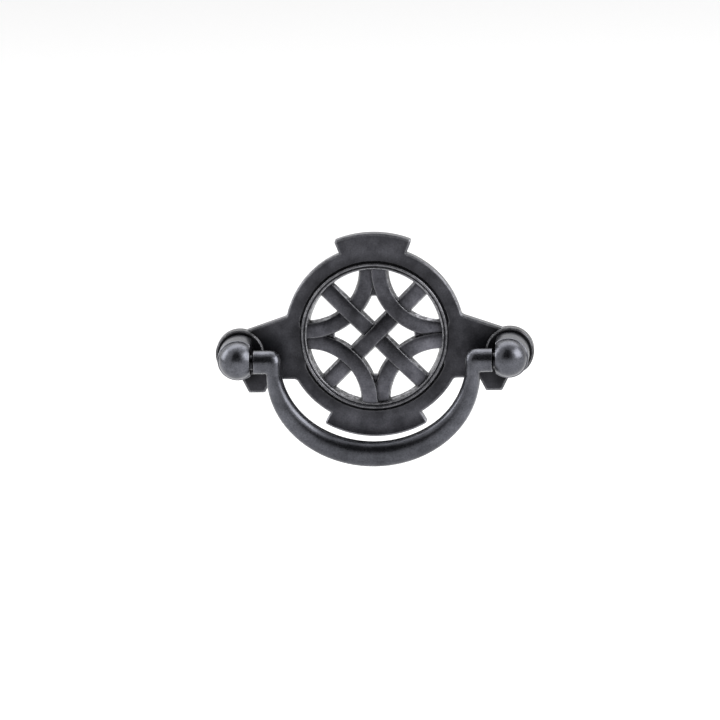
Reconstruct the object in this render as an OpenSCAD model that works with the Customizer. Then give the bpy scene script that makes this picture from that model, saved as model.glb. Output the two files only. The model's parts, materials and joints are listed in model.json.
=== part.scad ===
// Cabinet pull: a round pierced backplate with an interlaced lattice, two domed posts and a drop bail.
// The origin lies midway between the two screw axes, on the flat back. The front faces -Y and +Z is up.
// Plate pieces are drawn flat, with local x across, local y up and local z out of the back, then stood up.

/* [Fixing] */
// Distance between the two screw axes
screw_spacing = 76.2; // [72:0.1:96]
// Radius of the threaded hole in each post, drawn as a plain bore
screw_r = 2; // [1.5:0.05:2.2]
// Depth of each threaded hole, measured from the back of the plate
screw_depth = 9; // [6:0.5:10]

/* [Round plate] */
// Radius of the round plate
plate_r = 25.4; // [24:0.1:27]
// Thickness of the plate, its wings, tabs and feet
plate_t = 3; // [2.4:0.1:3.6]
// Width of the bevel round the front edge
plate_bevel = 0.4; // [0.2:0.05:0.7]
// Height of the plate's centre above the line between the posts
plate_rise = 4.8; // [4:0.05:5.4]

/* [Tabs] */
// Radius of the top tab's outer edge
top_tab_r = 29.3; // [28.4:0.1:32]
// Angle that the top tab spans
top_tab_angle = 44; // [30:1:60]
// Radius of the bottom tab's outer edge
bottom_tab_r = 28.9; // [28.2:0.1:29.2]
// Angle that the bottom tab spans
bottom_tab_angle = 60.5; // [40:0.5:66]
// Radius of the tabs' corners
tab_corner_r = 0.7; // [0.3:0.1:1]

/* [Wings and feet] */
// Angle above the plate's centre where a wing's top edge leaves the plate
wing_top_angle = 13; // [10:0.5:16]
// Slope of a wing's top edge
wing_slope = 19; // [16:0.5:22]
// Drop of a wing's bottom edge below the line between the posts
wing_drop = 7.5; // [7.2:0.1:8.2]
// Radius of the fillets where a wing meets the plate
wing_fillet = 1.5; // [0.6:0.1:2]
// Distance from a post's axis in to the middle of its foot
foot_inset = 4.6; // [3.6:0.1:5.2]
// Width of a foot at its lower end
foot_w = 4.5; // [3.5:0.1:6]
// Height of a foot below the wing
foot_h = 3.7; // [2:0.1:5]
// Slope of a foot's two sides
foot_side_angle = 63; // [55:1:75]

/* [Pads] */
// Radius of the raised round pad under each post
pad_r = 6.85; // [6.5:0.1:7.4]
// Height of a pad above the plate's face
pad_h = 0.7; // [0.4:0.1:1.2]
// Radius of the hole through each pad
pad_bore_r = 3.2; // [2.8:0.05:3.6]

/* [Rim] */
// Radius of the opening at the plate's back
opening_r = 18.6; // [18:0.1:19]
// How much the opening's radius grows from the back to the front
rim_draft = 0.55; // [0.1:0.05:0.7]
// Width of the raised rim round the opening
rim_w = 1.65; // [1.4:0.05:2]
// Height of the rim's outer ridge above the plate's face
rim_h = 0.9; // [0.7:0.05:1.2]
// How much lower the rim's inner ridge stands than its outer one
ridge_drop = 0.2; // [0.1:0.05:0.3]
// Depth of the hollow between the two ridges, below the inner one
rim_hollow = 0.25; // [0.1:0.05:0.35]
// Depth of the groove outside the rim
groove_depth = 0.3; // [0.1:0.05:0.5]
// Width of the groove outside the rim
groove_w = 0.7; // [0.4:0.1:1]

/* [Lattice] */
// Width of a lattice strap at its front
strap_w = 4.4; // [3.8:0.05:4.8]
// How much a strap's two sides spread from front to back
strap_draft = 0.6; // [0.2:0.05:0.7]
// Height of the straps' mean top above the plate's back
strap_level = 2.9; // [2.5:0.1:3.3]
// Rise and fall of the straps where they pass over and under
strap_wave = 0.6; // [0.3:0.05:0.8]
// Radius of the four curved straps' middle lines
arc_strap_r = 17.15; // [16.5:0.05:17.7]
// Distance of the curved straps' centres from the plate's centre, across and up
arc_strap_offset = 18.75; // [18.4:0.05:19.2]
// Distance from the plate's back in to the straps' flat backs
strap_back = 0.4; // [0.2:0.1:0.8]
// Fall of a strap's crown from its middle to the start of its rounded edge
strap_crown = 0.16; // [0.05:0.01:0.3]
// Size of the rounding along a strap's edges
strap_edge = 0.4; // [0.2:0.05:0.6]
// Distance from the plate's centre out to the low webs that close the slits between two curved straps
web_start = 11.2; // [10.5:0.1:13]
// Height of the webs above the plate's back
web_h = 1.7; // [1:0.1:2]

/* [Posts] */
// Radius of a post
post_r = 5.7; // [5.2:0.1:6]
// Length of a post's round stem in front of its pad
stem_l = 10; // [9:0.1:12]
// Distance from a post's axis to its flat inner side
flat_offset = 3.55; // [3:0.05:3.8]
// Radius of a post's domed nose
dome_r = 5.25; // [4.8:0.05:5.5]
// Rounding of the stem's front edge
stem_round = 0.45; // [0.2:0.05:0.6]
// Gap all round a spigot in its pad's hole
spigot_gap = 0.02; // [0.01:0.01:0.05]
// Distance from the plate's back in to a spigot's end
spigot_back = 0.4; // [0.2:0.1:1]

/* [Bail] */
// Radius of the pintle at each end of the bail
pintle_r = 2.1; // [1.8:0.05:2.4]
// Running clearance all round a pintle
pintle_gap = 0.06; // [0.02:0.01:0.1]
// Length of a pintle inside its post
pintle_l = 4.2; // [3:0.1:5]
// Drop of the pintle axis below the posts' axes
pivot_drop = 0.6; // [0:0.1:1]
// Distance of the pintle axis behind the domes' base
pivot_setback = 0.6; // [0:0.1:1.5]
// Radius of the bail's round shoulders
shoulder_r = 3.35; // [3:0.05:3.6]
// Gap between a shoulder's end and its post's flat side
shoulder_gap = 0.8; // [0.3:0.05:1.4]
// Length of a shoulder that stands out past the bail's arm
shoulder_l = 3.65; // [2.5:0.05:4]
// Rounding of the corner where a shoulder turns down into its arm
shoulder_round = 2.6; // [0.8:0.1:3]
// Straight run of an arm below its shoulder
arm_run = 0.2; // [0.1:0.1:2]
// Width of an arm at its top
arm_w = 4.2; // [3.4:0.05:4.6]
// Height of the bow's outer curve
bow_depth = 26.3; // [25.6:0.1:29]
// Width of the bow at its lowest point
bow_w = 7.15; // [5:0.05:8]
// Thickness of the bail from front to back
bail_t = 6.4; // [5:0.1:6.6]

/* [Hidden] */
$fn = 96;

post_x = screw_spacing / 2;
plate_centre = [0, plate_rise];
// How far a piece of the casting runs into the piece that carries it
bite = 1.2;
// Radii of the rim's inner lip and of its outer foot
lip_r = opening_r + rim_draft;
rim_out_r = lip_r + rim_w;
// Radius in the solid band of the plate where wings and tabs take root
root_r = rim_out_r + groove_w + bite / 2;
// Rounding of the rim's two ridges
inner_ridge_round = 0.3;
outer_ridge_round = 0.4;
// Share of the groove's width at which it is deepest
groove_lean = 0.3;
// Distance of a wing fillet's centre from the plate's, a little short so that its arc ends inside the plate
fillet_short = 0.06;
fillet_reach = plate_r + wing_fillet - fillet_short;
// Angles above the plate's centre between which a wing takes root
wing_root_low = -32;
wing_root_high = 18;
// Share of a pad's radius that a wing stops short of the post's axis
wing_end = 0.3;

// Straps: heights of the wave at the two ends of a curved strap and at its middle, 1 over and -1 under.
// The curved straps stand in the upper right, upper left, lower left and lower right quarters,
// and each list follows its strap anticlockwise round the strap's own centre.
curved_waves = [[1, 1, -1], [1, -1, -1], [1, 1, -1], [1, -1, -1]];
// The straight strap that rises to the left passes over its two curved straps and under in the middle.
left_wave = [-1, 1, -1, 1, -1];
// The straight strap that rises to the right does the opposite.
right_wave = [-0.6, -1, 1, -1, -0.6];
strap_steps = 28;
// Share of a strap's half width that lies level along its crown, and how far its edge rounding is cut
crown_flat = 1 / 3;
edge_cut = 0.3;
// Each strap's back starts this much lower than the last one's, before all are trimmed to one flat back
under_step = 0.1;
// Width of a web, hidden in the straps on both sides
web_w = 2;
// The block that trims the backs reaches this far past the opening, and this far down
trim_margin = 5;
trim_h = 2;
arc_mid_r = sqrt(2) * arc_strap_offset - arc_strap_r;
// Straps end under the rim's inner ridge
strap_end_r = lip_r + inner_ridge_round + 0.1;
straight_stations = [-strap_end_r, -arc_mid_r, 0, arc_mid_r, strap_end_r];
arc_centre_r = sqrt(2) * arc_strap_offset;
arc_half_angle = acos((pow(arc_centre_r, 2) + pow(arc_strap_r, 2) - pow(strap_end_r, 2))
    / (2 * arc_centre_r * arc_strap_r));
arc_rim_angle = acos((pow(arc_centre_r, 2) + pow(arc_strap_r, 2) - pow(opening_r - bite, 2))
    / (2 * arc_centre_r * arc_strap_r));

pad_face = plate_t + pad_h;
dome_base = pad_face + stem_l;
pivot_out = dome_base - pivot_setback;
post_bore_r = pintle_r + pintle_gap;
spigot_r = pad_bore_r - spigot_gap;
// Foot of a dome: how much it flares, and its height before the round begins
dome_flare = 0.05;
dome_foot = 0.1;
dome_steps = 12;
// Room past the end of a pintle in its bore
bore_end_gap = 0.18;
shoulder_out_x = post_x - flat_offset - shoulder_gap;
arm_out_x = shoulder_out_x - shoulder_l;
arm_in_x = arm_out_x - arm_w;
// Fillet in the corner under a shoulder, and the chamfer round its outer end
under_fillet = 0.25;
end_chamfer = 0.25;
// Drop of the bow's centre below the pintle axis
bow_drop = shoulder_r + under_fillet + arm_run;
bow_steps = 48;
knuckle_steps = 8;
bail_sides = 20;
// Power that squares the bow's oval section a little
bow_power = 0.85;
// Power of the bow's swell from its arms to its lowest point
bow_swell = 0.75;

// Unit vector along a
function unit(a) = a / norm(a);
// Point at distance r and angle a from the centre c
function polar(c, r, a) = c + r * [cos(a), sin(a)];
// Points along an arc, from angle a to angle b in n steps
function arc(c, r, a, b, n) = [for (i = [0:n]) polar(c, r, a + (b - a) * i / n)];
// Outline moved in by d along the mitre of each corner, for points that run anticlockwise
function inset(p, d) = [
    for (i = [0:len(p) - 1])
        let (
            before = unit(p[i] - p[(i + len(p) - 1) % len(p)]),
            after = unit(p[(i + 1) % len(p)] - p[i]),
            n1 = [-before.y, before.x],
            n2 = [-after.y, after.x]
        )
        p[i] + d * (n1 + n2) / (1 + n1 * n2)
];
// Smooth step from 0 to 1 while t goes from 0 to 1
function ease(t) = (1 - cos(180 * max(0, min(1, t)))) / 2;
// Height of a wave at s, eased from one station's value to the next
function wave(s, stations, values, i = 0) =
    i + 2 >= len(stations) || s <= stations[i + 1]
        ? values[i] + (values[i + 1] - values[i])
            * ease((s - stations[i]) / (stations[i + 1] - stations[i]))
        : wave(s, stations, values, i + 1);

// Plate piece with a flat back and a bevelled front edge. Its outline is seen whole from its heart.
module slab(outline, heart, thickness, bevel) {
    n = len(outline);
    points = concat(
        [for (p = outline) [p.x, p.y, 0]],
        [for (p = outline) [p.x, p.y, thickness - bevel]],
        [for (p = inset(outline, bevel)) [p.x, p.y, thickness]],
        [[heart.x, heart.y, 0], [heart.x, heart.y, thickness]]
    );
    faces = [
        for (i = [0:n - 1])
            let (j = (i + 1) % n)
            each [
                [3 * n, i, j],
                [i, n + i, n + j],
                [i, n + j, j],
                [n + i, 2 * n + i, 2 * n + j],
                [n + i, 2 * n + j, n + j],
                [3 * n + 1, 2 * n + j, 2 * n + i]
            ]
    ];
    polyhedron(points, faces);
}

// Disc with a bevelled front edge
module bevelled_disc(r, thickness, bevel) {
    rotate_extrude()
        polygon([[0, 0], [r, 0], [r, thickness - bevel], [r - bevel, thickness], [0, thickness]]);
}

// Solid swept through rings of points, closed by a cap at each end
module skin(rings) {
    n = len(rings[0]);
    last = len(rings) - 1;
    points = [for (ring = rings) each ring];
    sides = [
        for (k = [0:last - 1], i = [0:n - 1])
            let (j = (i + 1) % n)
            each [
                [k * n + i, (k + 1) * n + i, (k + 1) * n + j],
                [k * n + i, (k + 1) * n + j, k * n + j]
            ]
    ];
    caps = [
        for (i = [1:n - 2])
            each [[0, i, i + 1], [last * n, last * n + i + 1, last * n + i]]
    ];
    polyhedron(points, concat(sides, caps));
}

// Round plate with its double-ridged rim and the groove round it, open in the middle
module round_plate() {
    inner_top = plate_t + rim_h - ridge_drop;
    outer_top = plate_t + rim_h;
    inner_mid = [lip_r + inner_ridge_round, inner_top - inner_ridge_round];
    outer_mid = [rim_out_r - outer_ridge_round, outer_top - outer_ridge_round];
    inner_ridge = arc(inner_mid, inner_ridge_round, 180, 45, 4);
    outer_ridge = arc(outer_mid, outer_ridge_round, 150, 0, 5);
    hollow_r = (inner_ridge[4].x + outer_ridge[0].x) / 2;
    rotate_extrude()
        polygon(concat(
            [[opening_r, 0]],
            inner_ridge,
            [[hollow_r, inner_top - rim_hollow]],
            outer_ridge,
            [
                [rim_out_r + groove_w * groove_lean, plate_t - groove_depth],
                [rim_out_r + groove_w, plate_t],
                [plate_r - plate_bevel, plate_t],
                [plate_r, plate_t - plate_bevel],
                [plate_r, 0]
            ]
        ));
}

// Tab that widens outwards from the plate, centred on the angle middle
module tab(r, span, middle) {
    half = span / 2;
    corner_r = r - tab_corner_r;
    turn = asin(tab_corner_r / corner_r);
    outline = concat(
        arc([0, 0], root_r, half, -half, 6),
        arc(polar([0, 0], corner_r, turn - half), tab_corner_r, -90 - half, turn - half, 4),
        arc([0, 0], r, turn - half, half - turn, 16),
        arc(polar([0, 0], corner_r, half - turn), tab_corner_r, half - turn, 90 + half, 4)
    );
    count = len(outline);
    clean = [
        for (i = [0:count - 1])
            if (norm(outline[i] - outline[(i + 1) % count]) > 0.01)
                outline[i]
    ];
    rotate(middle)
        slab(clean, [(root_r + r) / 2, 0], plate_t, plate_bevel);
}

// Wing from the plate out to the right-hand pad, with a fillet at each corner with the plate
module wing() {
    corner = polar(plate_centre, plate_r, wing_top_angle);
    fall = [cos(wing_slope), -sin(wing_slope)];
    up = [sin(wing_slope), cos(wing_slope)];
    // Centre of the top fillet: its radius away from the plate's edge and from the wing's top edge
    top_c = fillet_centre(corner + wing_fillet * up, fall);
    top_start = atan2(plate_centre.y - top_c.y, plate_centre.x - top_c.x);
    top_end = -90 - wing_slope;
    // Centre of the bottom fillet, level with the wing's bottom edge less its radius
    bottom_y = -wing_drop - wing_fillet;
    bottom_x = sqrt(pow(fillet_reach, 2) - pow(bottom_y - plate_rise, 2));
    bottom_c = [bottom_x, bottom_y];
    bottom_end = atan2(plate_centre.y - bottom_c.y, plate_centre.x - bottom_c.x);
    tip_x = post_x - pad_r * wing_end;
    outline = concat(
        [polar(plate_centre, root_r, wing_root_low)],
        arc(bottom_c, wing_fillet, bottom_end, 90, 6),
        [[tip_x, -wing_drop], line_at(corner, fall, tip_x)],
        arc(top_c, wing_fillet, 360 + top_end, 360 + top_start, 6),
        [polar(plate_centre, root_r, wing_root_high)]
    );
    slab(outline, polar(plate_centre, root_r + bite / 2, 0), plate_t, plate_bevel);
}

// Point on the line through a along d whose distance from the plate's centre suits a fillet
function fillet_centre(a, d) =
    let (
        to_a = a - plate_centre,
        b = to_a * d,
        c = to_a * to_a - pow(fillet_reach, 2)
    )
    a + d * (-b + sqrt(b * b - c));
// Point at x on the line through a along d
function line_at(a, d, x) = a + d * (x - a.x) / d.x;

// Foot below the right-hand wing
module foot() {
    middle = post_x - foot_inset;
    top = -wing_drop + bite;
    low = -wing_drop - foot_h;
    half_low = foot_w / 2;
    half_top = half_low + (foot_h + bite) / tan(foot_side_angle);
    slab(
        [
            [middle - half_low, low],
            [middle + half_low, low],
            [middle + half_top, top],
            [middle - half_top, top]
        ],
        [middle, (top + low) / 2], plate_t, plate_bevel
    );
}

// Section of a strap: a flat back, sides with draft, rounded edges and a low crown at height top
function strap_section(top) =
    let (
        half = strap_w / 2,
        foot = half + strap_draft,
        edge = top - strap_crown
    )
    [
        [-foot, 0],
        [-half, edge - strap_edge],
        [-half + strap_edge * edge_cut, edge - strap_edge * edge_cut],
        [-half + strap_edge, edge],
        [-half * crown_flat, top],
        [half * crown_flat, top],
        [half - strap_edge, edge],
        [half - strap_edge * edge_cut, edge - strap_edge * edge_cut],
        [half, edge - strap_edge],
        [foot, 0]
    ];
// Height of a strap's top above the plate's back for a wave value
function strap_top(value) = strap_level + strap_wave * value;

// Straight strap through the plate's centre along the angle a. Its back runs past the plate's by under.
module straight_strap(a, values, under) {
    along = [cos(a), sin(a)];
    across = [-sin(a), cos(a)];
    skin([
        for (k = [0:strap_steps])
            let (
                s = strap_end_r * (2 * k / strap_steps - 1),
                top = strap_top(wave(s, straight_stations, values))
            )
            [
                for (q = strap_section(top))
                    let (p = along * s - across * q.x)
                    [p.x, p.y, q.y > 0 ? q.y : -under]
            ]
    ]);
}

// Curved strap in the quarter whose diagonal is the angle a
module curved_strap(a, values, under) {
    centre = polar([0, 0], arc_centre_r, a);
    stations = [-arc_rim_angle, 0, arc_rim_angle];
    skin([
        for (k = [0:strap_steps])
            let (
                turn = arc_half_angle * (2 * k / strap_steps - 1),
                top = strap_top(wave(turn, stations, values)),
                out = [cos(a + 180 + turn), sin(a + 180 + turn)]
            )
            [
                for (q = strap_section(top))
                    let (p = centre + out * (arc_strap_r + q.x))
                    [p.x, p.y, q.y > 0 ? q.y : -under]
            ]
    ]);
}

// Six straps that pass over and under each other, with one flat back
module lattice() {
    half = opening_r + trim_margin;
    difference() {
        union() {
            straight_strap(135, left_wave, under_step);
            straight_strap(45, right_wave, 2 * under_step);
            for (i = [0:3])
                curved_strap(45 + 90 * i, curved_waves[i], (3 + i) * under_step);
            for (i = [0:3])
                rotate(90 * i)
                    translate([web_start, -web_w / 2, -(7 + i) * under_step])
                        cube([strap_end_r - web_start, web_w, web_h + (7 + i) * under_step]);
        }
        translate([-half, -half, strap_back - trim_h])
            cube([2 * half, 2 * half, trim_h]);
    }
}

module backplate() {
    color([0.2, 0.21, 0.24])
        rotate([90, 0, 0])
            difference() {
                union() {
                    translate(plate_centre) {
                        round_plate();
                        tab(top_tab_r, top_tab_angle, 90);
                        tab(bottom_tab_r, bottom_tab_angle, -90);
                        lattice();
                    }
                    for (side = [0, 1])
                        mirror([side, 0, 0]) {
                            wing();
                            foot();
                            translate([post_x, 0, 0])
                                bevelled_disc(pad_r, pad_face, plate_bevel);
                        }
                }
                for (x = [-post_x, post_x])
                    translate([x, 0, -bite])
                        cylinder(r = pad_bore_r, h = pad_face + 2 * bite);
            }
}

// Post on the right: spigot, round stem, domed nose, blind threaded hole and the pintle's cross hole
module post() {
    rotate([90, 0, 0])
        difference() {
            rotate_extrude()
                polygon(concat(
                    [[0, spigot_back], [spigot_r, spigot_back], [spigot_r, pad_face], [post_r, pad_face]],
                    arc([post_r - stem_round, dome_base - stem_round], stem_round, 0, 90, 4),
                    [[dome_r + dome_flare, dome_base]],
                    arc([0, dome_base + dome_foot], dome_r, 0, 90 - 90 / dome_steps, dome_steps - 1),
                    [[0, dome_base + dome_foot + dome_r]]
                ));
            translate([0, 0, -bite])
                cylinder(r = screw_r, h = screw_depth + bite);
            translate([-flat_offset - post_r, -post_r, pad_face])
                cube([post_r, 2 * post_r, stem_l + 2 * dome_r]);
            translate([-flat_offset - bite, -pivot_drop, pivot_out])
                rotate([0, 90, 0])
                    cylinder(r = post_bore_r, h = pintle_l + bite + bore_end_gap);
        }
}

module right_post() {
    color([0.3, 0.32, 0.35])
        translate([post_x, 0, 0])
            post();
}

module left_post() {
    color([0.3, 0.32, 0.35])
        mirror([1, 0, 0])
            translate([post_x, 0, 0])
                post();
}

// Ring of points round the middle of the line from near to far, with a half thickness and a corner power
function bail_ring(near, far, half_t, power) =
    let (
        middle = (near + far) / 2,
        reach = (near - far) / 2
    )
    [
        for (i = [0:bail_sides - 1])
            let (
                t = -360 * i / bail_sides,
                p = middle + reach * sign(cos(t)) * pow(abs(cos(t)), power)
            )
            [p.x, p.y, half_t * sign(sin(t)) * pow(abs(sin(t)), power)]
    ];
// Ring of the bow at the angle a of its outer ellipse, square to the ellipse and widest at the bottom
function bow_ring(a) =
    let (
        edge = [arm_out_x * cos(a), bow_depth * sin(a)],
        out = unit([cos(a) / arm_out_x, sin(a) / bow_depth]),
        width = arm_w + (bow_w - arm_w) * pow(abs(sin(a)), bow_swell)
    )
    bail_ring(edge, edge - out * width, bail_t / 2, bow_power);
// Reach of a ray at the angle a from upright across a box w by h whose far corner is rounded by r
function knuckle_reach(a, w, h, r) =
    let (
        d = [sin(a), cos(a)],
        c = [w - r, h - r]
    )
    h * sin(a) <= c.x * cos(a) ? h / cos(a)
        : w * cos(a) <= c.y * sin(a) ? w / sin(a)
        : d * c + sqrt(pow(d * c, 2) - c * c + r * r);
// Ring of the right-hand knuckle, turned by a from the upright shoulder (0) to the level arm (90)
function knuckle_ring(a) =
    let (
        corner = [arm_out_x + under_fillet, bow_drop - shoulder_r - under_fillet],
        ray = [-sin(a), cos(a)],
        reach = knuckle_reach(a, arm_w + under_fillet, 2 * shoulder_r + under_fillet, shoulder_round),
        t = a / 90
    )
    bail_ring(
        corner + ray * under_fillet,
        corner + ray * reach,
        shoulder_r * (1 - t) + bail_t / 2 * t,
        1 - (1 - bow_power) * t
    );
// Round ring of the right-hand shoulder at x, with the radius r
function shoulder_ring(x, r) = bail_ring([x, bow_drop - r], [x, bow_drop + r], r, 1);
// Rings of the right-hand end of the bail, from the arm out to the end of the shoulder
shoulder_rings = concat(
    [for (k = [0:knuckle_steps]) knuckle_ring(90 - 90 * k / knuckle_steps)],
    [
        shoulder_ring(shoulder_out_x - end_chamfer, shoulder_r),
        shoulder_ring(shoulder_out_x, shoulder_r - end_chamfer)
    ]
);
last_ring = len(shoulder_rings) - 1;

// Bow, arms and shoulders of the bail in one sweep from the left end to the right
module bow() {
    skin(concat(
        [for (k = [0:last_ring]) [for (p = shoulder_rings[last_ring - k]) [-p.x, p.y, p.z]]],
        [for (k = [0:bow_steps]) bow_ring(-180 + 180 * k / bow_steps)],
        shoulder_rings
    ));
}

// Pintle on the right-hand end of the bail, about the pintle axis
module pintle() {
    root = shoulder_r / 2;
    translate([shoulder_out_x - root, 0, 0])
        rotate([0, 90, 0])
            cylinder(r = pintle_r, h = root + shoulder_gap + pintle_l);
}

module bail() {
    color([0.3, 0.32, 0.35])
        translate([0, -pivot_out, -pivot_drop]) {
            rotate([90, 0, 0])
                translate([0, -bow_drop, 0])
                    bow();
            for (side = [0, 1])
                mirror([side, 0, 0])
                    pintle();
        }
}

backplate();
left_post();
right_post();
bail();
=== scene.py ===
# %% [markdown]
# # A cast cabinet pull with a dark, rubbed patina
# The pull is a round backplate pierced by an interlaced lattice, two domed posts and a drop bail that swings in
# them. Its solids are already modelled to size. In this lesson they are dressed: the castings get smooth shading
# and soft edges, a patina that is worn on every high edge with painted light and shade laid into its colour, a pale
# studio and the camera of the photograph.

# %% Load the solids
import json
import math

import bpy
from mathutils import Matrix, Vector

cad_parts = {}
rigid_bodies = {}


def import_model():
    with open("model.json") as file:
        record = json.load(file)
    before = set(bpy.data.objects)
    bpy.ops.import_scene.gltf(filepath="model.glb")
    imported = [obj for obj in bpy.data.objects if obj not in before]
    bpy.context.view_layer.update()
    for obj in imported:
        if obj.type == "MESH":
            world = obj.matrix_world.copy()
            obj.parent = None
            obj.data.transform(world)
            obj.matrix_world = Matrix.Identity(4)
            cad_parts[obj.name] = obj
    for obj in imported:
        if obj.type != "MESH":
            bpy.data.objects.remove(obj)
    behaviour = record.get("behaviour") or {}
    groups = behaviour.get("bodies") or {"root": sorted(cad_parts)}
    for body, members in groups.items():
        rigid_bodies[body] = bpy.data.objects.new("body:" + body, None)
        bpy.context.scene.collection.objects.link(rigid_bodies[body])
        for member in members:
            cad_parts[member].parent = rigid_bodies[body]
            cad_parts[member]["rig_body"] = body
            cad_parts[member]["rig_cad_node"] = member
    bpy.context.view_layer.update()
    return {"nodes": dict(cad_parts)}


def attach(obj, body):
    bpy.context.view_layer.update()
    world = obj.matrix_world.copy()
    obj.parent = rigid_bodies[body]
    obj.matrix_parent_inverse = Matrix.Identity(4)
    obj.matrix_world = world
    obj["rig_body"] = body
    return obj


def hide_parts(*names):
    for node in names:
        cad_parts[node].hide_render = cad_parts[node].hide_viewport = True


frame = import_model()
MM = 0.001
print("solids:", sorted(frame["nodes"]))

# %% [markdown]
# ## Two helpers for nodes
# Colours are easiest to pick as the hex values that a screen shows, but a shader works in linear light. One
# function turns one into the other. A second one adds a node, sets what it is told and links what it is given,
# so that every material below reads as a short list of what it is made from.

# %% Hex colours and nodes
def linear(hex_colour):
    """Turns a screen colour such as #808080 into the linear values that a shader wants."""
    parts = [int(hex_colour[i:i + 2], 16) / 255 for i in (1, 3, 5)]
    return tuple(p / 12.92 if p <= 0.04045 else ((p + 0.055) / 1.055) ** 2.4 for p in parts) + (1.0,)


def add(tree, kind, inputs=None, **settings):
    """Adds a node. A value in inputs is set on that socket, and a socket in inputs is linked to it."""
    node = tree.nodes.new("ShaderNode" + kind)
    for name, value in settings.items():
        setattr(node, name, value)
    for key, value in (inputs or {}).items():
        if isinstance(value, bpy.types.NodeSocket):
            tree.links.new(value, node.inputs[key])
        else:
            node.inputs[key].default_value = value
    return node


print("dark iron in linear light:", [round(c, 3) for c in linear("#3c3f45")])

# %% [markdown]
# ## The white room
# The pull was photographed in a white room with a dark area in front of it, and dark metal looks like whatever
# it mirrors. The world is white for the eye and in the metal, and a softer grey in the light that it casts.

# %% White surroundings
CAST_LIGHT = 0.62


def seen_or_mirrored(tree):
    """Gives 1 for rays of the camera, of a mirror and through glass, and 0 for rays that carry light."""
    path = add(tree, "LightPath")
    mirrored = add(tree, "Math", {0: path.outputs["Is Glossy Ray"], 1: path.outputs["Is Transmission Ray"]},
                   operation="MAXIMUM")
    seen = add(tree, "Math", {0: path.outputs["Is Camera Ray"], 1: mirrored.outputs[0]}, operation="MAXIMUM")
    return seen.outputs[0]


world = bpy.data.worlds.new("white_room")
bpy.context.scene.world = world
world.use_nodes = True
tree = world.node_tree
tree.nodes.clear()
strength = add(tree, "MapRange", {"Value": seen_or_mirrored(tree), "To Min": CAST_LIGHT, "To Max": 1.0})
room = add(tree, "Background", {"Color": (1, 1, 1, 1), "Strength": strength.outputs[0]})
add(tree, "OutputWorld", {"Surface": room.outputs[0]})
print("world nodes:", len(tree.nodes))

# %% [markdown]
# ## The floor
# A pale floor lies well below the pull and takes its soft shadow. A little glow, for the eye and the mirrors
# only, brings its paper grey up to the white of the photograph.

# %% Pale floor
FLOOR_Z = -0.14
PAPER_GLOW = 0.38
bpy.ops.object.select_all(action="DESELECT")
bpy.ops.mesh.primitive_plane_add(size=12, location=(0, 0, FLOOR_Z))
floor = bpy.context.object
floor.name = "floor"
paper = bpy.data.materials.new("white_paper")
paper.use_nodes = True
tree = paper.node_tree
shader = tree.nodes["Principled BSDF"]
shader.inputs["Base Color"].default_value = linear("#d4d4d4")
shader.inputs["Roughness"].default_value = 0.9
shader.inputs["Emission Color"].default_value = (1, 1, 1, 1)
glow = add(tree, "Math", {0: seen_or_mirrored(tree), 1: PAPER_GLOW}, operation="MULTIPLY")
tree.links.new(glow.outputs[0], shader.inputs["Emission Strength"])
floor.data.materials.append(paper)
print("floor at", floor.location.z, "m")

# %% [markdown]
# ## The dark in front of the pull
# A black curtain stands a little behind the camera and rises high above it. The camera never sees it. It is what
# makes the black spot on each dome and the dark band along the bail.

# %% Dark curtain
bpy.ops.object.select_all(action="DESELECT")
bpy.ops.mesh.primitive_plane_add(size=1, location=(-0.2, -3, 4.8), rotation=(math.radians(90), 0, 0))
curtain = bpy.context.object
curtain.name = "curtain"
curtain.scale = (3.9, 9.0, 1)
bpy.ops.object.transform_apply(location=False, rotation=True, scale=True)
curtain.visible_camera = False
cloth = bpy.data.materials.new("black_velvet")
cloth.use_nodes = True
tree = cloth.node_tree
shader = tree.nodes["Principled BSDF"]
weave = add(tree, "TexNoise", {"Vector": add(tree, "TexCoord").outputs["Object"], "Scale": 40.0})
pile = add(tree, "Mix", {0: weave.outputs[0], 6: linear("#08080a"), 7: linear("#141417")}, data_type="RGBA")
tree.links.new(pile.outputs[2], shader.inputs["Base Color"])
shader.inputs["Roughness"].default_value = 1.0
curtain.data.materials.append(cloth)
print("curtain", [round(d, 1) for d in curtain.dimensions])

# %% [markdown]
# ## The camera
# The photograph was taken with a long lens, a little above the pull and a little to its right, and the pull
# leans slightly in the frame. The camera is built from three directions: to its right, its up, and back from
# the pull to the lens. The pull doesn't lie quite in the middle of the photograph, so the camera is shifted.

# %% Camera
PICTURE = 720
FOCAL_PIXELS = 8881
DISTANCE = 2.5
AIM = Vector((0, -0.007, 0.0015))
AIM_IN_PICTURE = (373.85, 349.95)
azimuth, elevation, roll = math.radians(3.4), math.radians(10.5), math.radians(-1.2)
back = Vector((math.sin(azimuth) * math.cos(elevation), -math.cos(azimuth) * math.cos(elevation),
               math.sin(elevation)))
sideways = Vector((math.cos(azimuth), math.sin(azimuth), 0))
upright = back.cross(sideways)
right = sideways * math.cos(roll) + upright * math.sin(roll)
up = upright * math.cos(roll) - sideways * math.sin(roll)
lens = bpy.data.cameras.new("long_lens")
lens.sensor_width = 36
lens.lens = FOCAL_PIXELS / PICTURE * lens.sensor_width
lens.clip_end = 50
camera = bpy.data.objects.new("camera", lens)
bpy.context.scene.collection.objects.link(camera)
bpy.context.scene.camera = camera
metres_per_pixel = DISTANCE / FOCAL_PIXELS
shift = (right * (PICTURE / 2 - AIM_IN_PICTURE[0]) + up * (AIM_IN_PICTURE[1] - PICTURE / 2)) * metres_per_pixel
camera.matrix_world = (Matrix.Translation(AIM + back * DISTANCE + shift)
                       @ Matrix((right, up, back)).transposed().to_4x4())
print("lens", round(lens.lens), "mm at", DISTANCE, "m")

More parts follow.
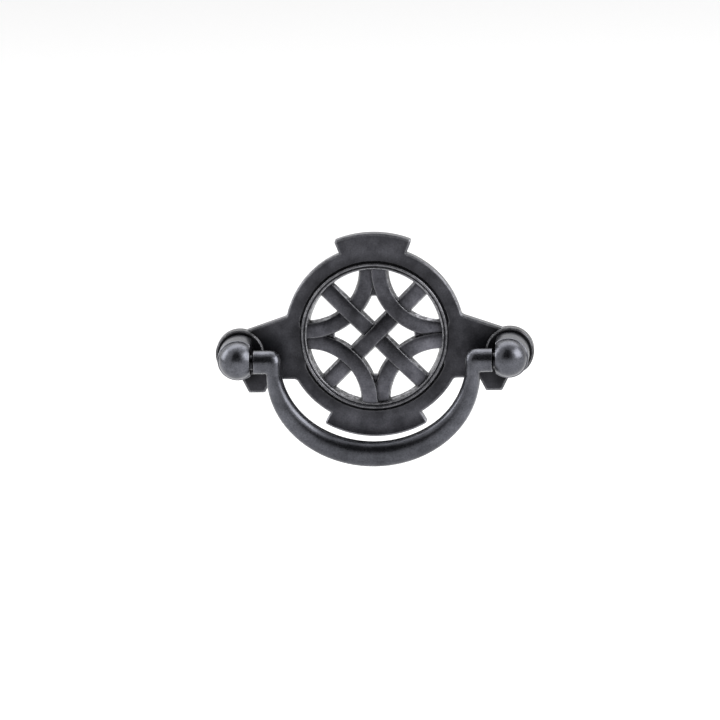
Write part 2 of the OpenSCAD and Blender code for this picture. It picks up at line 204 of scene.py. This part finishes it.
# %% [markdown]
# ## The lamps
# Soft boxes light the metal. A large one overhead draws the light lines along the upper edges, and one on each
# side gives the domes their two bright patches. Each is given by what the metal will mirror: its radiance, from
# which the power of the lamp follows.

# %% Soft boxes
def soft_box(name, location, width, height, radiance):
    """Adds a lamp that faces the pull and shines with the given radiance."""
    lamp = bpy.data.lights.new(name, "AREA")
    lamp.shape = "RECTANGLE"
    lamp.size = width
    lamp.size_y = height
    lamp.energy = radiance * math.pi * width * height
    box = bpy.data.objects.new(name, lamp)
    bpy.context.scene.collection.objects.link(box)
    box.location = location
    box.rotation_euler = (-Vector(location)).to_track_quat("-Z", "Y").to_euler()
    print(name, round(lamp.energy, 2), "W")


soft_box("top_box", (-0.1, 0.55, 1.15), width=2.6, height=0.9, radiance=2.4)
soft_box("left_box", (-1.2, 0.25, 0.52), width=0.85, height=0.85, radiance=4.2)
soft_box("right_box", (1.1, -0.25, 0.6), width=1.0, height=1.0, radiance=4.2)

# %% [markdown]
# ## Where the metal is rubbed, and where painted shade darkens it
# Three masks come from the shape itself. Rays sent into the metal find its convex edges, which are rubbed. Rays
# sent outwards find its corners and the places where another piece comes near, which are painted black: partly
# patina that stays there, partly painted shade. They also find its hollows, which are painted a little darker as
# painted shade. No hand or cloth reaches the back of the plate, so the edges there keep their black.

# %% Wear and painted shade from the shape
EDGE_REACH, CORNER_REACH, HOLLOW_REACH = 0.5, 2.5, 5.5
UNRUBBED = 0.12


def wear(tree, depth, patch, corner_black):
    """Gives the masks of rubbed edges, of corners painted black as patina and painted shade, of hollows darkened as
    painted shade, and how near a point is to the front.
    """
    inside = add(tree, "AmbientOcclusion", {"Distance": EDGE_REACH * MM}, samples=8, inside=True, only_local=True)
    edge = add(tree, "MapRange", {"Value": inside.outputs["AO"], "From Min": 0.95, "From Max": 0.68})
    broken = add(tree, "MapRange", {"Value": patch, "From Min": 0.36, "From Max": 0.54, "To Min": 0.45})
    worked = add(tree, "Math", {0: edge.outputs[0], 1: broken.outputs[0]}, operation="MULTIPLY")
    front = add(tree, "MapRange", {"Value": depth, "From Min": -0.3 * MM, "From Max": -1.1 * MM,
                                   "To Min": UNRUBBED, "To Max": 1.0})
    rubbed = add(tree, "Math", {0: worked.outputs[0], 1: front.outputs[0]}, operation="MULTIPLY")
    # Black in corners and where another piece comes near: patina that stays there, and painted shade
    near = add(tree, "AmbientOcclusion", {"Distance": CORNER_REACH * MM}, samples=8, only_local=False)
    corner = add(tree, "MapRange", {"Value": near.outputs["AO"], "From Min": 0.75, "From Max": 0.3,
                                    "To Max": corner_black})
    # Painted shade: the hollows in a piece's own relief are darkened
    wide = add(tree, "AmbientOcclusion", {"Distance": HOLLOW_REACH * MM}, samples=8, only_local=True)
    hollow = add(tree, "MapRange", {"Value": wide.outputs["AO"], "From Min": 0.9, "From Max": 0.55,
                                    "To Min": 1.0, "To Max": 0.5})
    return rubbed.outputs[0], corner.outputs[0], hollow.outputs[0], front.outputs[0]


print("edges are rubbed over", EDGE_REACH, "mm")

# %% [markdown]
# ## Painted light and shade that belong to a place
# They depend on where a point lies, in millimetres. The straps are painted lighter where they bend down to the
# rim and catch the light, most of all at the lower right, and a little darker near the middle. Painted shade darkens
# the groove outside the rim and the plate round the feet of the posts, where the posts and the bail shade it. The
# bow of the bail is painted darker towards its bottom, and the tab behind it is painted lighter against the bail's
# dark mirror image.

# %% Painted light and shade from the place
POST_X = 38.1
PLATE_Z = 4.8
OPENING_R = 19.2
RAMP_R = 26
LIGHTEST = 3.0


def zones(tree, apart, place, front, strap_rub, groove_black, foot_tone, low_z, high_z, low_tone):
    """Gives the factor by which painted light and shade change the tone at a place, and a mask of what lies within
    the rim.
    """
    # Distance from the middle of the round plate, seen from the front
    centred = add(tree, "VectorMath", {0: place, 1: (0, 0, -PLATE_Z * MM)}, operation="ADD")
    flat = add(tree, "VectorMath", {0: centred.outputs[0], 1: (1, 0, 1)}, operation="MULTIPLY")
    radius = add(tree, "VectorMath", {0: flat.outputs[0]}, operation="LENGTH").outputs["Value"]
    within = add(tree, "Math", {0: radius, 1: OPENING_R * MM}, operation="LESS_THAN").outputs[0]
    # Rings of painted light on the straps near the rim and painted shade in the groove. Each stop is a radius and
    # how many times the tone is lightened there
    across = add(tree, "Math", {0: radius, 1: RAMP_R * MM}, operation="DIVIDE")
    rings = add(tree, "ValToRGB", {0: across.outputs[0]})
    ramp = rings.color_ramp
    for stop_r, times in ((5, 1), (9, 1 - 0.18 * strap_rub), (12.5, 1 + 0.4 * strap_rub),
                          (15.3, 1 + 0.8 * strap_rub), (17.8, 1 + 0.8 * strap_rub), (18.8, 1 + strap_rub / 2),
                          (19.3, 1), (20.6, 1), (21.5, 1 - groove_black), (22.3, 1 - groove_black), (24, 1)):
        stop = ramp.elements.new(stop_r / RAMP_R)
        stop.color = (times / LIGHTEST, times / LIGHTEST, times / LIGHTEST, 1)
    ramp.elements.remove(ramp.elements[0])
    ramp.elements.remove(ramp.elements[len(ramp.elements) - 1])
    ringed = add(tree, "Math", {0: rings.outputs[0], 1: LIGHTEST}, operation="MULTIPLY")
    # Within the rim the painted light leans to the lower right: lighter there, darker to the upper left
    leaning = add(tree, "VectorMath", {0: flat.outputs[0], 1: (1, 0, -1)}, operation="DOT_PRODUCT")
    lean = add(tree, "MapRange", {"Value": leaning.outputs["Value"], "From Min": -14 * MM, "From Max": 16 * MM,
                                  "To Min": 1 - 0.12 * strap_rub, "To Max": 1 + 0.3 * strap_rub})
    leant = add(tree, "Mix", {0: within, 2: 1.0, 3: lean.outputs[0]}, data_type="FLOAT")
    straps = add(tree, "Math", {0: ringed.outputs[0], 1: leant.outputs[0]}, operation="MULTIPLY")
    # The low part: painted light on the tab behind the bail, painted shade on the middle of the bow
    low = add(tree, "MapRange", {"Value": apart.outputs[2], "From Min": low_z * MM, "From Max": high_z * MM,
                                 "To Min": low_tone, "To Max": 1.0})
    # Painted shade round the feet of the posts, where the posts and the bail shade the plate, on the front only
    aside = add(tree, "Math", {0: apart.outputs[0]}, operation="ABSOLUTE")
    beside = add(tree, "Math", {0: aside.outputs[0], 1: POST_X * MM}, operation="SUBTRACT")
    offset = add(tree, "CombineXYZ", {0: beside.outputs[0], 2: apart.outputs[2]})
    reach = add(tree, "VectorMath", {0: offset.outputs[0]}, operation="LENGTH")
    foot_black = add(tree, "MapRange", {"Value": front, "From Min": UNRUBBED, "To Min": 1.0, "To Max": foot_tone})
    foot = add(tree, "MapRange", {"Value": reach.outputs["Value"], "From Min": 6.5 * MM, "From Max": 13 * MM,
                                  "To Min": foot_black.outputs[0], "To Max": 1.0})
    lower = add(tree, "Math", {0: straps.outputs[0], 1: low.outputs[0]}, operation="MULTIPLY")
    tone = add(tree, "Math", {0: lower.outputs[0], 1: foot.outputs[0]}, operation="MULTIPLY")
    return tone.outputs[0], within


print("rings of wear end", RAMP_R, "mm from the plate's middle")

# %% [markdown]
# ## Dark patinated cast iron
# Cast iron that was blackened with a blue-black patina and then rubbed. The patina is a skin of oxide, so the
# plate isn't wholly metallic to the eye. It is uneven over a few millimetres, and the skin of the casting is
# grainy at half a millimetre. The walls of the openings are painted dark with light flecks: painted shade and
# painted glints. The painted light and shade of the masks above are laid into its colour too.

# %% Patina material with painted light and shade
CLOUD_SIZE, GRAIN_SIZE, PATCH_SIZE = 5, 0.5, 1.1
BLACK = "#0c0c0e"


def patina(name, tones, worn, walls, metallic, roughness, grain_height, edge_radius, corner_black, **places):
    """Builds the metal from two dark tones, rubbed edges, walls painted with shade and glints, corners painted black
    as patina and painted shade, painted light and shade by place, hollows darkened as painted shade, and a grainy
    skin.
    """
    material = bpy.data.materials.new(name)
    material.use_nodes = True
    tree = material.node_tree
    shader = tree.nodes["Principled BSDF"]
    shader.inputs["Metallic"].default_value = metallic
    coords = add(tree, "TexCoord")
    place = coords.outputs["Object"]
    apart = add(tree, "SeparateXYZ", {0: place})
    cloud = add(tree, "TexNoise", {"Vector": place, "Scale": 1 / (CLOUD_SIZE * MM), "Detail": 4.0,
                                   "Roughness": 0.6})
    grain = add(tree, "TexNoise", {"Vector": place, "Scale": 1 / (GRAIN_SIZE * MM), "Detail": 3.0,
                                   "Roughness": 0.6})
    patch = add(tree, "TexNoise", {"Vector": place, "Scale": 1 / (PATCH_SIZE * MM), "Detail": 2.0,
                                   "Roughness": 0.7})
    rubbed, corner, hollow, front = wear(tree, apart.outputs[1], patch.outputs[0], corner_black)
    tone, within = zones(tree, apart, place, front, **places)
    # Two dark tones in clouds
    cloudy = add(tree, "MapRange", {"Value": cloud.outputs[0], "From Min": 0.34, "From Max": 0.66})
    tint = add(tree, "Mix", {0: cloudy.outputs[0], 6: linear(tones[0]), 7: linear(tones[1])}, data_type="RGBA")
    # Walls within the rim, facing neither the front nor the back, are painted dark with light flecks: painted shade
    # and painted glints
    facing = add(tree, "SeparateXYZ", {0: coords.outputs["Normal"]})
    frontal = add(tree, "Math", {0: facing.outputs[1]}, operation="ABSOLUTE")
    steep = add(tree, "MapRange", {"Value": frontal.outputs[0], "From Min": 0.55, "From Max": 0.2})
    walled = add(tree, "Math", {0: steep.outputs[0], 1: within}, operation="MULTIPLY")
    flake = add(tree, "MapRange", {"Value": patch.outputs[0], "From Min": 0.42, "From Max": 0.64})
    side = add(tree, "Mix", {0: flake.outputs[0], 6: linear(walls[0]), 7: linear(walls[1])}, data_type="RGBA")
    sided = add(tree, "Mix", {0: walled.outputs[0], 6: tint.outputs[2], 7: side.outputs[2]}, data_type="RGBA")
    # The painted light and shade of the place and of the hollows, and the specks of the grain
    speck = add(tree, "MapRange", {"Value": grain.outputs[0], "From Min": 0.3, "From Max": 0.7,
                                   "To Min": 0.78, "To Max": 1.22})
    shade = add(tree, "Math", {0: speck.outputs[0], 1: hollow}, operation="MULTIPLY")
    shine = add(tree, "Math", {0: shade.outputs[0], 1: tone}, operation="MULTIPLY")
    skin = add(tree, "VectorMath", {0: sided.outputs[2], "Scale": shine.outputs[0]}, operation="SCALE")
    # Bare metal on the edges, and black in the corners as patina and painted shade, lie over all of it
    bare = add(tree, "Mix", {0: rubbed, 6: skin.outputs[0], 7: linear(worn)}, data_type="RGBA")
    black = add(tree, "Mix", {0: corner, 6: bare.outputs[2], 7: linear(BLACK)}, data_type="RGBA")
    tree.links.new(black.outputs[2], shader.inputs["Base Color"])
    # The sheen varies with the grain, and rubbed edges are a little glossier
    dull = add(tree, "MapRange", {"Value": grain.outputs[0], "To Min": roughness - 0.06, "To Max": roughness + 0.06})
    sheen = add(tree, "MapRange", {"Value": rubbed, "To Min": 0.0, "To Max": -0.08})
    rough = add(tree, "Math", {0: dull.outputs[0], 1: sheen.outputs[0]}, operation="ADD")
    tree.links.new(rough.outputs[0], shader.inputs["Roughness"])
    # Edges of a casting are never knife sharp: their normals are rounded
    soft = add(tree, "Bevel", {"Radius": edge_radius * MM}, samples=6)
    bump = add(tree, "Bump", {"Height": grain.outputs[0], "Distance": grain_height * MM, "Strength": 1.0,
                              "Normal": soft.outputs[0]})
    tree.links.new(bump.outputs[0], shader.inputs["Normal"])
    print(name, "has", len(tree.nodes), "nodes")
    return material


# The plate's painted light and shade: straps lighter towards the rim, shade in the groove and round the posts, a
# lighter bottom tab
plate_metal = patina(
    "sand_cast_iron_patina", tones=("#2e2e32", "#46464b"), worn="#b0b0b4", walls=("#101012", "#7c7c80"),
    metallic=0.85, roughness=0.32, grain_height=0.02, edge_radius=0.3, corner_black=0.2,
    strap_rub=1.15, groove_black=0.26, foot_tone=0.2, low_z=-22, high_z=-13, low_tone=2.2)
# The handle's painted shade: the bow of the bail is painted darker towards its bottom
handle_metal = patina(
    "smooth_cast_iron_patina", tones=("#4b4c51", "#5e5f65"), worn="#8c8c90", walls=("#49494e", "#636368"),
    metallic=1.0, roughness=0.29, grain_height=0.012, edge_radius=0.25, corner_black=0.85,
    strap_rub=0.0, groove_black=0.0, foot_tone=1.0, low_z=-26, high_z=-16, low_tone=0.72)

# %% [markdown]
# ## The castings
# The solids arrive as loose triangles, each flat. A copy of each is merged into one skin and shaded smooth
# wherever two faces meet at less than 32 degrees, so that curves are round and real edges stay crisp. The copy
# stands for its solid and moves with the same body.

# %% Merge and smooth a copy of each solid
SMOOTH_BELOW = math.radians(32)
MERGE_WITHIN = 0.002


def cast_piece(name, node, body, material):
    """Copies a solid, merges its loose triangles, shades it and gives it its metal."""
    bpy.ops.object.select_all(action="DESELECT")
    solid = frame["nodes"][node]
    solid.select_set(True)
    bpy.context.view_layer.objects.active = solid
    bpy.ops.object.duplicate()
    piece = bpy.context.object
    piece.name = name
    piece.parent = None
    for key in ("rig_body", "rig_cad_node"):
        if key in piece:
            del piece[key]
    bpy.ops.object.mode_set(mode="EDIT")
    bpy.ops.mesh.select_all(action="SELECT")
    bpy.ops.mesh.remove_doubles(threshold=MERGE_WITHIN * MM)
    bpy.ops.mesh.customdata_custom_splitnormals_clear()
    bpy.ops.object.mode_set(mode="OBJECT")
    bpy.ops.object.shade_smooth_by_angle(angle=SMOOTH_BELOW)
    piece.data.materials.clear()
    piece.data.materials.append(material)
    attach(piece, body)
    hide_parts(node)
    print(name, len(piece.data.polygons), "triangles")


cast_piece("plate_casting", "backplate", "plate", plate_metal)
cast_piece("left_post_turned", "left_post", "plate", handle_metal)
cast_piece("right_post_turned", "right_post", "plate", handle_metal)
cast_piece("bail_casting", "bail", "bail", handle_metal)

# %% [markdown]
# ## Finish
# The view transform stays plain, so that a colour renders as it was chosen.

# %% Finish
bpy.context.scene.view_settings.view_transform = "Standard"
